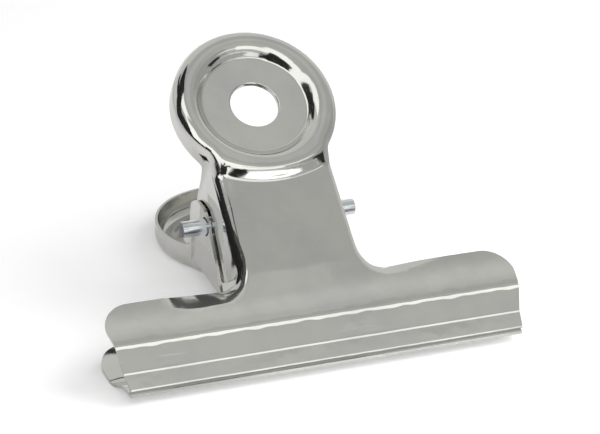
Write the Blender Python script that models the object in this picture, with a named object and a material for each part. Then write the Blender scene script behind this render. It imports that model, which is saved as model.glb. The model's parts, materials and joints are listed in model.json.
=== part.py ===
"""A letter clip: two pressed steel plates on a hinge pin, held shut by a torsion spring.

The clip lies on its rear plate. X runs along the pin, +Y from the jaws to the thumb discs,
+Z up, and the origin is under the middle of the clip. Lengths are in metres.
"""
import math

import bmesh
import bpy
import numpy as np
from mathutils import Vector
from mathutils.geometry import delaunay_2d_cdt

for old in list(bpy.data.objects):
    bpy.data.objects.remove(old, do_unlink=True)

# Sheet and fits
SHEET = 0.0005
PIECE_GAP = 0.0003
LIP_GAP = 0.0003

# Thumb disc, measured from the centre of its hang hole
DISC_RADIUS = 0.01545
HOLE_RADIUS = 0.00455
HOLE_ROLL = 0.0004
HOLE_WALL = 0.0005
DISH_RADIUS = 0.00995
BEAD_HEIGHT = 0.0021
BEAD_INNER_SLOPE = 0.0018
BEAD_TOP_WIDTH = 0.00295
BEAD_OUTER_SLOPE = 0.0012
BEAD_OUTER_SPREAD = 0.00695
BEAD_FOOT_EASE = 0.00035
BEAD_CREST_EASE = 0.0012
BEAD_SHOULDER_EASE = 0.0008
BEAD_NECK_EASE = 0.0004
RIM_DEPTH = 0.00296

# Neck and its turned flanges
NECK_WIDTH = 0.0228
BEND_RADIUS = 0.0022
DISC_BLEND = 0.0030
WING_FILLET = 0.0070
WING_RUNOUT = 0.0080
SHOULDER_LENGTH = 0.0070
EAR_WALL = 0.0015

# Free edges of the flanges: depth as a share of the ear's, by station along the bend line.
# Stations: 0 shoulder, 1 neck, 2 pin, 3 wing fillet, 4 its end, 5 end of the run-out.
FRONT_EDGE = ((0.3, 0.225), (0.46, 0.24), (0.54, 0.31), (0.63, 0.44), (0.73, 0.62), (0.80, 0.80),
              (0.88, 0.93), (1.0, 0.985), (1.2, 1.0), (2.0, 1.0), (2.5, 0.99), (3.0, 0.93),
              (3.12, 0.80), (3.25, 0.58), (3.4, 0.35), (3.55, 0.20), (3.75, 0.115), (4.0, 0.07),
              (4.3, 0.035), (4.6, 0.012), (5.0, 0.0))
REAR_EDGE = ((0.70, 0.22), (0.76, 0.34), (0.80, 0.72), (0.85, 0.83), (0.92, 0.875), (1.0, 0.895),
             (1.18, 0.955), (1.4, 0.99), (1.55, 1.0), (1.75, 0.998), (1.91, 0.98), (2.1, 0.895),
             (2.2, 0.785), (2.35, 0.643), (2.54, 0.476), (2.77, 0.236), (2.93, 0.11), (3.1, 0.055),
             (3.4, 0.03), (3.7, 0.02), (4.0, 0.015), (4.5, 0.005), (5.0, 0.0))

# Jaw, from the wing's top edge down to the lip
JAW_WIDTH = 0.0765
JAW_TAPER = 0.00185
WING_CORNER = 0.0050
DISC_TO_WING = 0.0360
WING_LENGTH = 0.00845
WING_RISE = 0.00286
STRIP_LENGTH = 0.00453
STRIP_DROP = 0.00195
LIP_LENGTH = 0.00337
LIP_RISE = 0.00014
WING_BEND_HALF = 0.0045
FOLD_HALF = 0.0010
LIP_FOLD_HALF = 0.0005

# Hinge pin
PIN_DIAMETER = 0.0030
PIN_LENGTH = 0.0340
PIN_CHAMFER = 0.0002
PIN_FROM_DISC = 0.0184
PIN_BEHIND_FRONT = 0.01036
PIN_BEHIND_REAR = 0.01156

# Torsion spring
WIRE_DIAMETER = 0.0012
COIL_CLEARANCE = 0.0005
COIL_TURNS = 9
COIL_PITCH = 0.00175
POINTS_PER_TURN = 9
LEG_REACH = 0.0129

# Fineness of the round stretches
DISC_COLUMNS = 18
ARC_COLUMNS = 6
NECK_COLUMNS = 13
RUNOUT_COLUMNS = 4
BEND_ROWS = 4
WALL_ROWS = 2
HOLE_POINTS = 32
NECK_RING_COLUMNS = 12
JAW_COLUMNS = 8
SETTLE_STEPS = 8

HALF_NECK = NECK_WIDTH / 2
HALF_JAW = JAW_WIDTH / 2
CREST_RADIUS = DISC_RADIUS - BEND_RADIUS
WING_TOP = -DISC_TO_WING
WING_BEND = WING_TOP - WING_LENGTH
STRIP_BEND = WING_BEND - STRIP_LENGTH
LIP_END = STRIP_BEND - LIP_LENGTH
HOLE_ROLL_START = HOLE_RADIUS + HOLE_ROLL


def soft_ramp(distance, half):
    """Distance past a bend line, eased over half its width to each side."""
    if distance <= -half:
        return 0.0
    if distance >= half:
        return distance
    return (distance + half) ** 2 / (4 * half)


def bead_bends(off_neck):
    """Radius, easing and change of slope at each bend of the bead, from the dish floor outwards.

    Its outer slope is steepest on the neck's middle line, and wider the further off that it lies.
    """
    slope = BEAD_OUTER_SLOPE + BEAD_OUTER_SPREAD * off_neck
    rise = BEAD_HEIGHT / BEAD_INNER_SLOPE
    fall = BEAD_HEIGHT / slope
    top = DISH_RADIUS + BEAD_INNER_SLOPE
    edge = top + BEAD_TOP_WIDTH
    return ((DISH_RADIUS, BEAD_FOOT_EASE, rise), (top, BEAD_CREST_EASE, -rise),
            (edge, BEAD_SHOULDER_EASE, -fall), (edge + slope, BEAD_NECK_EASE, fall))


def bead_height(across, along):
    """Dish floor, cone to the bead's round top, and the steep fall to the neck."""
    radius = max(SHEET, math.hypot(across, along))
    bends = bead_bends(1 + along / radius)
    return sum(change * soft_ramp(radius - place, ease) for place, ease, change in bends)


def jaw_height(along):
    """The jaw's profile: wing, inward strip and lip, with a soft bend between each."""
    slopes = (0.0, WING_RISE / WING_LENGTH, -STRIP_DROP / STRIP_LENGTH, LIP_RISE / LIP_LENGTH)
    bends = ((WING_TOP, WING_BEND_HALF), (WING_BEND, FOLD_HALF), (STRIP_BEND, LIP_FOLD_HALF))
    height = 0.0
    for number, (place, half) in enumerate(bends):
        height += (slopes[number + 1] - slopes[number]) * soft_ramp(place - along, half)
    return height


def surface_height(across, along):
    """Height of a plate's outer face over its dish floor."""
    return bead_height(across, along) + jaw_height(along)


def wing_corner():
    """Radius of the wing's upper corners, within the wing's own length."""
    return min(WING_CORNER, WING_LENGTH - 2 * FOLD_HALF)


def jaw_end(along):
    """Half the jaw's width at a place along the plate."""
    corner_end = WING_TOP - wing_corner()
    taper = max(0.0, corner_end - along) / (corner_end - LIP_END)
    return HALF_JAW - JAW_TAPER * taper


def flange_depth(station, pin_behind, edge):
    """How far the turned edge reaches back at a station: a smooth curve through its edge's points."""
    ear_depth = pin_behind + PIN_DIAMETER / 2 + EAR_WALL
    places, shares = np.transpose(((0.0, RIM_DEPTH / ear_depth), *edge))
    rises = np.diff(shares) / np.diff(places)
    product = np.maximum(0.0, rises[:-1] * rises[1:])
    both = rises[:-1] + rises[1:]
    slopes = np.zeros(len(places))
    slopes[1:-1] = np.divide(2 * product, both, out=np.zeros_like(both), where=product > 0)
    number = min(np.searchsorted(places[1:], station), len(rises) - 1)
    span = places[number + 1] - places[number]
    share = min(1.0, max(0.0, (station - places[number]) / span))
    step = shares[number + 1] - shares[number]
    start_rise = slopes[number] * span
    end_rise = slopes[number + 1] * span
    cubic = start_rise + end_rise - 2 * step
    square = 3 * step - 2 * start_rise - end_rise
    return ear_depth * (shares[number] + share * (start_rise + share * (square + share * cubic)))


def bend_turn(depth):
    """How far the round bend turns before a flange of this depth ends."""
    return math.acos(max(0.0, 1 - depth / BEND_RADIUS))


def blend_centre(half_neck):
    """Centre of the hollow arc between the disc's rim and the neck's side."""
    across = half_neck + DISC_BLEND
    return Vector((across, -math.sqrt((DISC_RADIUS + DISC_BLEND) ** 2 - across ** 2)))


def disc_turn(half_neck):
    """Turn from the disc's top to where its rim runs into the neck."""
    centre = blend_centre(half_neck)
    return math.pi / 2 + math.atan2(-centre.y, centre.x)


def bend_line(half_neck, pin_behind, edge):
    """The right flange's bend line, disc top first: points, outward directions and flange depths.

    Past the neck it draws in from the plate's outline, by as much as the bend stands out there.
    """
    line = []
    centre = blend_centre(half_neck)
    last_turn = disc_turn(half_neck)
    blend_radius = DISC_BLEND + BEND_RADIUS
    blend_length = blend_radius * (last_turn - math.pi / 2)
    for step in range(DISC_COLUMNS):
        turn = last_turn * step / DISC_COLUMNS
        out = Vector((math.sin(turn), math.cos(turn)))
        to_neck = CREST_RADIUS * (last_turn - turn) + blend_length
        line.append((out * CREST_RADIUS, out, 1 - to_neck / SHOULDER_LENGTH))
    for step in range(ARC_COLUMNS):
        share = step / ARC_COLUMNS
        turn = last_turn + (math.pi / 2 - last_turn) * share
        out = Vector((math.sin(turn), math.cos(turn)))
        station = 1 - blend_length * (1 - share) / SHOULDER_LENGTH
        line.append((centre - out * blend_radius, out, station))
    neck_x = half_neck - BEND_RADIUS
    fillet_s = WING_TOP + WING_FILLET
    for step in range(NECK_COLUMNS):
        along = centre.y + (fillet_s - centre.y) * step / NECK_COLUMNS
        past_pin = -PIN_FROM_DISC - along
        reach = -PIN_FROM_DISC - fillet_s if past_pin > 0 else centre.y + PIN_FROM_DISC
        line.append((Vector((neck_x, along)), Vector((1.0, 0.0)), 2 + past_pin / reach))
    fillet_centre = Vector((neck_x + WING_FILLET, fillet_s))
    for step in range(ARC_COLUMNS):
        turn = math.pi / 2 * step / ARC_COLUMNS
        out = Vector((math.cos(turn), math.sin(turn)))
        line.append((fillet_centre - out * WING_FILLET, out, 3 + step / ARC_COLUMNS))
    for step in range(RUNOUT_COLUMNS + 1):
        across = fillet_centre.x + WING_RUNOUT * step / RUNOUT_COLUMNS
        line.append((Vector((across, WING_TOP)), Vector((0.0, 1.0)), 4 + step / RUNOUT_COLUMNS))
    columns = []
    for point, out, station in line:
        depth = flange_depth(station, pin_behind, edge)
        past_neck = min(1.0, max(0.0, station - 3))
        inset = BEND_RADIUS * math.sin(bend_turn(depth)) * past_neck ** 2 * (3 - 2 * past_neck)
        columns.append((point - out * inset, out, depth))
    return columns


def plan_outline(bends, rows):
    """The plate's plan inside its bend lines, as one closed loop of points, disc top first."""
    right = [tuple(point) for point, out, depth in bends]
    corner = wing_corner()
    for step in range(ARC_COLUMNS + 1):
        turn = math.pi / 2 * step / ARC_COLUMNS
        across = HALF_JAW - corner + corner * math.sin(turn)
        right.append((across, WING_TOP - corner + corner * math.cos(turn)))
    right += [row[-1] for row in rows]
    left = [(-across, along) for across, along in right[1:]]
    lip = rows[-1][-2:0:-1]
    return right + lip + left[::-1]


def jaw_rows():
    """Rows of points across the jaw, close together at its two bends."""
    places = []
    for bend, half in ((WING_BEND, FOLD_HALF), (STRIP_BEND, LIP_FOLD_HALF)):
        places += [bend + half * share for share in (1.0, 0.5, 0.0, -0.5, -1.0)]
    places.append(LIP_END)
    shares = [step / JAW_COLUMNS - 1 for step in range(2 * JAW_COLUMNS + 1)]
    return [[(jaw_end(along) * share, along) for share in shares] for along in places]


def circle(radius, turns):
    """Points round the hang hole's centre, at turns from the disc's top."""
    return [(radius * math.sin(turn), radius * math.cos(turn)) for turn in turns]


def hole_turns():
    """Turns of the points round the hang hole."""
    return [2 * math.pi * step / HOLE_POINTS for step in range(HOLE_POINTS)]


def ring_turns(half_neck):
    """Turns of the bead's points: in line with the flange's columns, then across the neck."""
    right = [disc_turn(half_neck) * step / DISC_COLUMNS for step in range(DISC_COLUMNS + 1)]
    neck_turn = 2 * (math.pi - right[-1])
    across = [right[-1] + neck_turn * step / NECK_RING_COLUMNS for step in range(1, NECK_RING_COLUMNS)]
    left = [2 * math.pi - turn for turn in right[:0:-1]]
    return right + across + left


def inner_points(half_neck, outline):
    """Points of the bead's rings and of the soft bend at the wing's top, clear of the outline."""
    loose = []
    for turn in ring_turns(half_neck):
        for place, ease, _ in bead_bends(1 + math.cos(turn)):
            for share in (-1.0, -0.33, 0.33, 1.0):
                loose += circle(place + ease * share, [turn])
    for share in (1.0, 0.5, 0.0, -0.5, -1.0):
        along = WING_TOP + WING_BEND_HALF * share
        for step in range(1 - JAW_COLUMNS, JAW_COLUMNS):
            loose.append((HALF_JAW * step / JAW_COLUMNS, along))
    corners = np.array(outline)
    following = np.roll(corners, -1, axis=0)
    edge = following - corners
    kept = []
    for place in np.array(loose):
        offset = place - corners
        share = np.clip((offset * edge).sum(1) / (edge * edge).sum(1), 0, 1)
        nearest = np.hypot(*(offset - edge * share[:, None]).T).min()
        spans = (corners[:, 1] > place[1]) != (following[:, 1] > place[1])
        crossing = corners[spans, 0] + edge[spans, 0] * offset[spans, 1] / edge[spans, 1]
        inside = (crossing > place[0]).sum() % 2 == 1
        if inside and nearest > SHEET:
            kept.append(tuple(place))
    return kept


def add_face_sheet(mesh, half_neck, bends):
    """The plate's pressed face between its bend lines, with the bead and the jaw's bends."""
    rows = jaw_rows()
    outline = plan_outline(bends, rows)
    hole = circle(HOLE_ROLL_START, hole_turns())
    places = {}
    edges = []
    for chain in (outline + outline[:1], hole + hole[:1], *rows[:-1]):
        numbers = [places.setdefault(point, len(places)) for point in chain]
        edges += list(zip(numbers[:-1], numbers[1:]))
    for point in inner_points(half_neck, outline):
        places.setdefault(point, len(places))
    flat = [Vector(point) for point in places]
    points, _, triangles, *_ = delaunay_2d_cdt(flat, edges, [], 1, 1e-8)
    corners = [mesh.verts.new((x, s, surface_height(x, s))) for x, s in points]
    hole_limit = HOLE_ROLL_START + 1e-7
    for triangle in triangles:
        if any(points[number].length > hole_limit for number in triangle):
            mesh.faces.new([corners[number] for number in triangle])


def add_strip(mesh, columns):
    """Four-sided faces between neighbouring columns of points."""
    rows = [[mesh.verts.new(point) for point in column] for column in columns]
    for first, second in zip(rows[:-1], rows[1:]):
        for step in range(len(first) - 1):
            mesh.faces.new((first[step], first[step + 1], second[step + 1], second[step]))


def add_flange(mesh, bends, side):
    """The turned edge of one side: a round bend, then a wall back to its free edge."""
    columns = []
    for point, out, depth in bends:
        column = []
        for step in range(BEND_ROWS + 1):
            turn = bend_turn(depth) * step / BEND_ROWS
            place = point + out * BEND_RADIUS * math.sin(turn)
            height = surface_height(*place) - BEND_RADIUS * (1 - math.cos(turn))
            column.append((side * place.x, place.y, height))
        bottom = jaw_height(point.y) - depth
        top = column[-1]
        for step in range(WALL_ROWS):
            share = (step + 1) / WALL_ROWS
            height = top[2] + min(0.0, bottom - top[2]) * share
            column.append((top[0], top[1], height))
        columns.append(column)
    add_strip(mesh, columns)


def add_hole_roll(mesh):
    """The hang hole's edge, rolled back through the sheet."""
    columns = []
    for x, s in circle(1.0, hole_turns() + [0.0]):
        column = []
        for turn in (0.0, math.pi / 4, math.pi / 2):
            radius = HOLE_ROLL_START - HOLE_ROLL * math.sin(turn)
            column.append((radius * x, radius * s, -HOLE_ROLL * (1 - math.cos(turn))))
        column.append((HOLE_RADIUS * x, HOLE_RADIUS * s, -HOLE_ROLL - HOLE_WALL))
        columns.append(column)
    add_strip(mesh, columns)


def metal(name, colour, roughness):
    """A plain metal finish."""
    material = bpy.data.materials.new(name)
    material.use_nodes = True
    shader = material.node_tree.nodes["Principled BSDF"]
    shader.inputs["Base Color"].default_value = (*colour, 1.0)
    shader.inputs["Metallic"].default_value = 1.0
    shader.inputs["Roughness"].default_value = roughness
    return material


def add_object(name, data, parent, material=None):
    """An object in the scene, held by the hinge's axis."""
    part = bpy.data.objects.new(name, data)
    bpy.context.collection.objects.link(part)
    part.parent = parent
    if material:
        data.materials.append(material)
    return part


def rod_mesh(name, radius, length, chamfer, segments):
    """A straight rod along X, its end edges broken by a chamfer."""
    mesh = bmesh.new()
    bmesh.ops.create_cone(mesh, cap_ends=True, segments=segments, radius1=radius, radius2=radius, depth=length)
    rims = [edge for edge in mesh.edges if abs(edge.verts[0].co.z - edge.verts[1].co.z) < length / 2]
    if chamfer:
        bmesh.ops.bevel(mesh, geom=rims, offset=chamfer, segments=1, affect="EDGES")
    for corner in mesh.verts:
        corner.co = (corner.co.z, corner.co.y, -corner.co.x)
    data = bpy.data.meshes.new(name)
    mesh.to_mesh(data)
    mesh.free()
    data.shade_smooth()
    data.set_sharp_from_angle(angle=math.radians(35))
    return data


def plate(name, half_neck, pin_behind, edge, material, parent, cutter):
    """One pressed plate, its origin on the pin's axis, with pin holes through both flanges."""
    mesh = bmesh.new()
    bends = bend_line(half_neck, pin_behind, edge)
    add_face_sheet(mesh, half_neck, bends)
    for side in (1, -1):
        add_flange(mesh, bends, side)
    add_hole_roll(mesh)
    bmesh.ops.remove_doubles(mesh, verts=mesh.verts, dist=2e-6)
    bmesh.ops.recalc_face_normals(mesh, faces=mesh.faces)
    if sum(face.normal.z * face.calc_area() for face in mesh.faces) < 0:
        bmesh.ops.reverse_faces(mesh, faces=mesh.faces)
    bmesh.ops.translate(mesh, verts=mesh.verts, vec=(0, PIN_FROM_DISC, pin_behind))
    data = bpy.data.meshes.new(name)
    mesh.to_mesh(data)
    mesh.free()
    data.shade_smooth()
    data.set_sharp_from_angle(angle=math.radians(50))
    part = add_object(name, data, parent, material)
    wall = part.modifiers.new("sheet", "SOLIDIFY")
    wall.thickness = SHEET
    wall.offset = -1.0
    wall.use_even_offset = True
    holes = part.modifiers.new("pin_holes", "BOOLEAN")
    holes.object = cutter
    holes.solver = "EXACT"
    return part


def plate_lean(pin_behind):
    """Angle between a plate's face and the plane in which the lips meet."""
    rise = pin_behind + jaw_height(LIP_END)
    run = -LIP_END - PIN_FROM_DISC
    clear = SHEET + LIP_GAP / 2
    return math.atan2(rise, run) - math.asin(clear / math.hypot(rise, run))


def spring_leg(pin_behind):
    """Length and turn of the line from the pin to a leg's end, which rests inside its plate."""
    rest = pin_behind - SHEET - PIECE_GAP - WIRE_DIAMETER / 2
    return math.hypot(LEG_REACH, rest), plate_lean(pin_behind) + math.atan2(rest, LEG_REACH)


def spring_path():
    """Leg on the rear plate, the coil round the pin, and leg on the front plate."""
    radius = PIN_DIAMETER / 2 + COIL_CLEARANCE + WIRE_DIAMETER / 2
    rear_reach, rear_turn = spring_leg(PIN_BEHIND_REAR)
    front_reach, front_turn = spring_leg(PIN_BEHIND_FRONT)
    start = rear_turn + math.acos(radius / rear_reach)
    sweep = 2 * math.pi * COIL_TURNS - start - front_turn - math.acos(radius / front_reach)
    count = round(POINTS_PER_TURN * sweep / (2 * math.pi))
    half_length = COIL_PITCH * sweep / (4 * math.pi)
    path = [(-half_length, rear_reach * math.cos(rear_turn), -rear_reach * math.sin(rear_turn))]
    for step in range(count + 1):
        turn = -start - sweep * step / count
        x = half_length * (2 * step / count - 1)
        path.append((x, radius * math.cos(turn), radius * math.sin(turn)))
    path.append((half_length, front_reach * math.cos(front_turn), front_reach * math.sin(front_turn)))
    return path


def least_gap(path):
    """Least clear distance between turns of the wire, measured on points along it."""
    fine = []
    for first, second in zip(path[:-1], path[1:]):
        steps = max(1, round(math.dist(first, second) / (WIRE_DIAMETER / 2)))
        fine += [np.array(first) + (np.array(second) - first) * step / steps for step in range(steps)]
    fine = np.array(fine)
    lengths = np.concatenate([[0], np.cumsum(np.hypot.reduce(np.diff(fine, axis=0), axis=1))])
    apart = np.linalg.norm(fine[:, None] - fine[None], axis=2)
    neighbours = np.abs(lengths[:, None] - lengths[None]) < 4 * WIRE_DIAMETER
    return apart[~neighbours].min() - WIRE_DIAMETER


def spring(name, path, material, parent):
    """The wound wire, one unbroken tube."""
    curve = bpy.data.curves.new(name, "CURVE")
    curve.dimensions = "3D"
    curve.bevel_depth = WIRE_DIAMETER / 2
    curve.bevel_resolution = 1
    curve.use_fill_caps = True
    line = curve.splines.new("POLY")
    line.points.add(len(path) - 1)
    for point, place in zip(line.points, path):
        point.co = (*place, 1.0)
    return add_object(name, curve, parent, material)


def world_points(parts):
    """Corners of the finished parts, in the scene's frame."""
    bpy.context.view_layer.update()
    graph = bpy.context.evaluated_depsgraph_get()
    corners = []
    for part in parts:
        shape = part.evaluated_get(graph)
        mesh = shape.to_mesh()
        corners += [tuple(shape.matrix_world @ vertex.co) for vertex in mesh.vertices]
        shape.to_mesh_clear()
    return np.array(corners)


def rest_tilt(corners):
    """Turn about the pin that brings the rear plate's jaw and bead down to one level."""
    tilt = 0.0
    for _ in range(SETTLE_STEPS):
        heights = corners[:, 1] * math.sin(tilt) + corners[:, 2] * math.cos(tilt)
        jaw = corners[np.where(corners[:, 1] < 0, heights, np.inf).argmin()]
        disc = corners[np.where(corners[:, 1] > 0, heights, np.inf).argmin()]
        tilt = math.atan2(jaw[2] - disc[2], disc[1] - jaw[1])
    return tilt


hinge = add_object("hinge_axis", None, None)
steel = metal("nickel_plated_steel", (0.62, 0.61, 0.58), 0.16)
wire_steel = metal("spring_wire", (0.45, 0.45, 0.46), 0.30)
rod_steel = metal("pin_rod", (0.70, 0.72, 0.75), 0.28)

hole_radius = PIN_DIAMETER / 2 + PIECE_GAP
cutter = add_object("pin_hole_cutter", rod_mesh("pin_hole_cutter", hole_radius, PIN_LENGTH, 0, 24), hinge)
cutter.hide_render = True
cutter.display_type = "WIRE"

# The plates lean apart on the pin until their lips meet
rear_half_neck = HALF_NECK + PIECE_GAP + SHEET
front = plate("front_plate", HALF_NECK, PIN_BEHIND_FRONT, FRONT_EDGE, steel, hinge, cutter)
front.rotation_euler = (plate_lean(PIN_BEHIND_FRONT), 0, 0)
rear = plate("rear_plate", rear_half_neck, PIN_BEHIND_REAR, REAR_EDGE, steel.copy(), hinge, cutter)
rear.rotation_euler = (plate_lean(PIN_BEHIND_REAR), math.pi, 0)
pin = add_object("pivot_pin", rod_mesh("pivot_pin", PIN_DIAMETER / 2, PIN_LENGTH, PIN_CHAMFER, 24), hinge, rod_steel)
coil_path = spring_path()
coil = spring("torsion_spring", coil_path, wire_steel, hinge)
print(f"least gap between the spring's turns: {least_gap(coil_path) * 1000:.2f} mm")

# The clip lies on its rear plate, its lowest points on the origin's level
hinge.rotation_euler = (rest_tilt(world_points([rear])), 0, 0)
corners = world_points([front, rear, pin, coil])
middle = (corners.min(axis=0) + corners.max(axis=0)) / 2
hinge.location = (-middle[0], -middle[1], -corners[:, 2].min())
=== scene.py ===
"""A nickel-plated letter clip lying on a white table.

Two pressed plates turn on a pin, and a wound spring inside holds their jaws shut. Lengths are in
metres, +Z is up, and the clip lies on its rear plate.
"""
import json
import math

import bmesh
import bpy
import numpy as np
from mathutils import Euler, Matrix, Vector
from mathutils.geometry import delaunay_2d_cdt

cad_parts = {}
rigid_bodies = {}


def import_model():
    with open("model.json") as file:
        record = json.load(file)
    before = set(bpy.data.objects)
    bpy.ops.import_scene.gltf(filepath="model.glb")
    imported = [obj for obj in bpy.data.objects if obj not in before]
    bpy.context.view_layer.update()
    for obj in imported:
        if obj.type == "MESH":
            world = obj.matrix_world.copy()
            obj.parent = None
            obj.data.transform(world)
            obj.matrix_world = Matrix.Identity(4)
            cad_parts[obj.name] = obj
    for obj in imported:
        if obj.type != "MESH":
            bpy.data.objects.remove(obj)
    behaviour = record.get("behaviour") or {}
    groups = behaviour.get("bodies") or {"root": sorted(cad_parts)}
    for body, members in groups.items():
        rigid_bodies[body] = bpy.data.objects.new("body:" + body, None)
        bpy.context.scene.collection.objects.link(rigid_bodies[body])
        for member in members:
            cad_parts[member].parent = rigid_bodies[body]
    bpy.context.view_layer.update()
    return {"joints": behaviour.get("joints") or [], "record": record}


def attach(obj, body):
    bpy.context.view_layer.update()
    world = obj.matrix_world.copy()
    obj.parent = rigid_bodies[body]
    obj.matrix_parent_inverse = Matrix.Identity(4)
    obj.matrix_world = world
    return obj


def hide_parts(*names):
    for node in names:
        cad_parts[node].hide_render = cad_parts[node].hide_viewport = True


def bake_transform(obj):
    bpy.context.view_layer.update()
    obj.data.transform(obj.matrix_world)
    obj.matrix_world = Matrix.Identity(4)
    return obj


scene = bpy.context.scene
for leftover in list(scene.objects):
    bpy.data.objects.remove(leftover, do_unlink=True)
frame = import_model()
scene.view_settings.view_transform = "Standard"

# Front plate: the upper half of the clip, pressed from one piece of thin sheet steel and then
# nickel plated. Its thumb disc has a raised bead and a hang hole, its neck is turned back into
# two flanges that take the pin, and its wide jaw has two folds that bring the lip down.
SHEET = 0.0005
PIN_DIAMETER = 0.0030
PIN_PLAY = 0.0003
PIN_FROM_DISC = 0.0184
PIN_BEHIND_FRONT = 0.01036
DISC_RADIUS = 0.01545
HOLE_RADIUS = 0.00455
HOLE_ROLL = 0.0004
HOLE_WALL = 0.0005
DISH_RADIUS = 0.00995
BEAD_HEIGHT = 0.00205
BEAD_INNER_SLOPE = 0.0018
BEAD_TOP_WIDTH = 0.00295
BEAD_OUTER_SLOPE = 0.00134
BEAD_OUTER_SPREAD = 0.00695
BEAD_FOOT_EASE = 0.00035
BEAD_CREST_EASE = 0.0012
BEAD_SHOULDER_EASE = 0.0008
BEAD_NECK_EASE = 0.0004
RIM_DEPTH = 0.00296
FRONT_HALF_NECK = 0.0114
BEND_RADIUS = 0.0022
DISC_BLEND = 0.0030
WING_FILLET = 0.0070
WING_RUNOUT = 0.0110
SHOULDER_LENGTH = 0.0070
EAR_WALL = 0.0015
HALF_JAW = 0.03825
JAW_TAPER = 0.00185
WING_CORNER = 0.0050
WING_TOP = -0.0360
WING_BEND = WING_TOP - 0.00845
STRIP_BEND = WING_BEND - 0.00453
LIP_END = STRIP_BEND - 0.00337
WING_SLOPE = 0.00286 / 0.00845
STRIP_SLOPE = -0.00195 / 0.00453
LIP_SLOPE = 0.00014 / 0.00337
WING_BEND_HALF = 0.0045
FOLD_HALF = 0.0012
FOLD_UNEVEN = ((0.10, 0.0113, 0.6), (0.12, 0.0061, 2.1), (0.12, 0.0037, 4.0))
FOLD_LEAD = 0.0012
FOLD_LEAD_HALF = 0.0020
FOLD_LEAD_SHARE = 0.2
LIP_FOLD_HALF = 0.00045
LIP_EDGE = LIP_END + 0.00024
LIP_EDGE_HALF = 0.0001
LIP_EDGE_SLOPE = -0.22
CREST_RADIUS = DISC_RADIUS - BEND_RADIUS
HOLE_ROLL_START = HOLE_RADIUS + HOLE_ROLL
DISC_COLUMNS = 72
ARC_COLUMNS = 20
NECK_COLUMNS = 40
RUNOUT_COLUMNS = 24
NECK_RING_COLUMNS = 44
JAW_COLUMNS = 120
BEND_ROWS = 12
WALL_ROWS = 8
BEAD_ROWS = 9
BEAD_SLOPE_ROWS = 8
BEAD_SLOPE_SPAN = (0.2, 0.9)
WING_ROWS = 17
FOLD_ROWS = 17
LIP_FOLD_ROWS = 9
LIP_EDGE_ROWS = 5
HOLE_POINTS = 120
HOLE_ROWS = 6
PIN_HOLE_SIDES = 64
DRILL_LENGTH = 0.05
OUTLINE_CLEARANCE = 0.00015
MERGE_DISTANCE = 2e-6
PLAN_TOLERANCE = 1e-8
LEAST_TURN = 1e-6
SHARP_ANGLE = math.radians(40)

# Depth of the flange's free edge as a share of the ear's, by station along its bend line.
# Stations: 0 shoulder, 1 neck, 2 pin, 3 wing fillet, 4 its end, 5 end of the run-out.
FRONT_EDGE = ((0.3, 0.225), (0.46, 0.24), (0.54, 0.31), (0.63, 0.44), (0.73, 0.62), (0.80, 0.80),
              (0.88, 0.93), (1.0, 0.985), (1.2, 1.0), (2.0, 1.0), (2.5, 0.99), (3.0, 0.93),
              (3.12, 0.80), (3.25, 0.58), (3.4, 0.35), (3.55, 0.20), (3.75, 0.115), (4.0, 0.07),
              (4.3, 0.035), (4.6, 0.012), (5.0, 0.0))
# The left flange stays deeper where it runs out along the wing's top, and its bend flattens there to
# a facet. The facet's width goes by station, and the crease along its foot takes a share of its tilt
# at once, in full past the second of its stations. The other bends stay round.
LEFT_RUNOUT_EDGE = ((3.75, 0.125), (4.0, 0.09), (4.3, 0.065), (4.6, 0.045), (4.85, 0.02), (5.0, 0.0))
FRONT_LEFT_EDGE = (*(point for point in FRONT_EDGE if point[0] < LEFT_RUNOUT_EDGE[0][0]),
                   *LEFT_RUNOUT_EDGE)
RUNOUT_FACET = ((3.4, 0.0022), (3.7, 0.0026), (4.0, 0.0031), (4.4, 0.0034), (4.65, 0.0032),
                (4.85, 0.0024), (4.95, 0.0013), (5.0, 0.0))
NO_FACET = ((3.0, 0.0), (5.0, 0.0))
CREASE_SHARE = 0.62
CREASE_STATIONS = (3.5, 4.0)


def soft_ramp(distance, half):
    """Distance past a bend line, eased over half its width to each side."""
    eased = np.clip(distance + half, 0, 2 * half) ** 2 / (4 * half)
    return np.where(distance > half, distance, eased)


def bead_bends(off_neck):
    """Radius, easing and change of slope at each bend of the bead, from the dish floor outwards.

    Its outer slope is steepest on the neck's middle line, and wider the further off that it lies.
    """
    slope = BEAD_OUTER_SLOPE + BEAD_OUTER_SPREAD * off_neck
    rise = BEAD_HEIGHT / BEAD_INNER_SLOPE
    fall = BEAD_HEIGHT / slope
    top = DISH_RADIUS + BEAD_INNER_SLOPE
    edge = top + BEAD_TOP_WIDTH
    return ((DISH_RADIUS, BEAD_FOOT_EASE, rise), (top, BEAD_CREST_EASE, -rise),
            (edge, BEAD_SHOULDER_EASE, -fall), (edge + slope, BEAD_NECK_EASE, fall))


def jaw_height(across, along):
    """The jaw's profile: wing, inward strip and lip, with a soft bend between each.

    The fold below the wing runs a little unevenly, as the press leaves it.
    """
    fold = STRIP_SLOPE - WING_SLOPE
    uneven = 1 + sum(share * np.sin(2 * math.pi * across / length + start)
                     for share, length, start in FOLD_UNEVEN)
    lead = WING_BEND + FOLD_LEAD * (1 - FOLD_LEAD_SHARE)
    bends = ((WING_TOP, WING_BEND_HALF, WING_SLOPE), (lead, FOLD_LEAD_HALF, fold * FOLD_LEAD_SHARE),
             (lead - FOLD_LEAD, FOLD_HALF * uneven, fold * (1 - FOLD_LEAD_SHARE)),
             (STRIP_BEND, LIP_FOLD_HALF, LIP_SLOPE - STRIP_SLOPE),
             (LIP_EDGE, LIP_EDGE_HALF, LIP_EDGE_SLOPE))
    return sum(change * soft_ramp(place - along, half) for place, half, change in bends)


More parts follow.
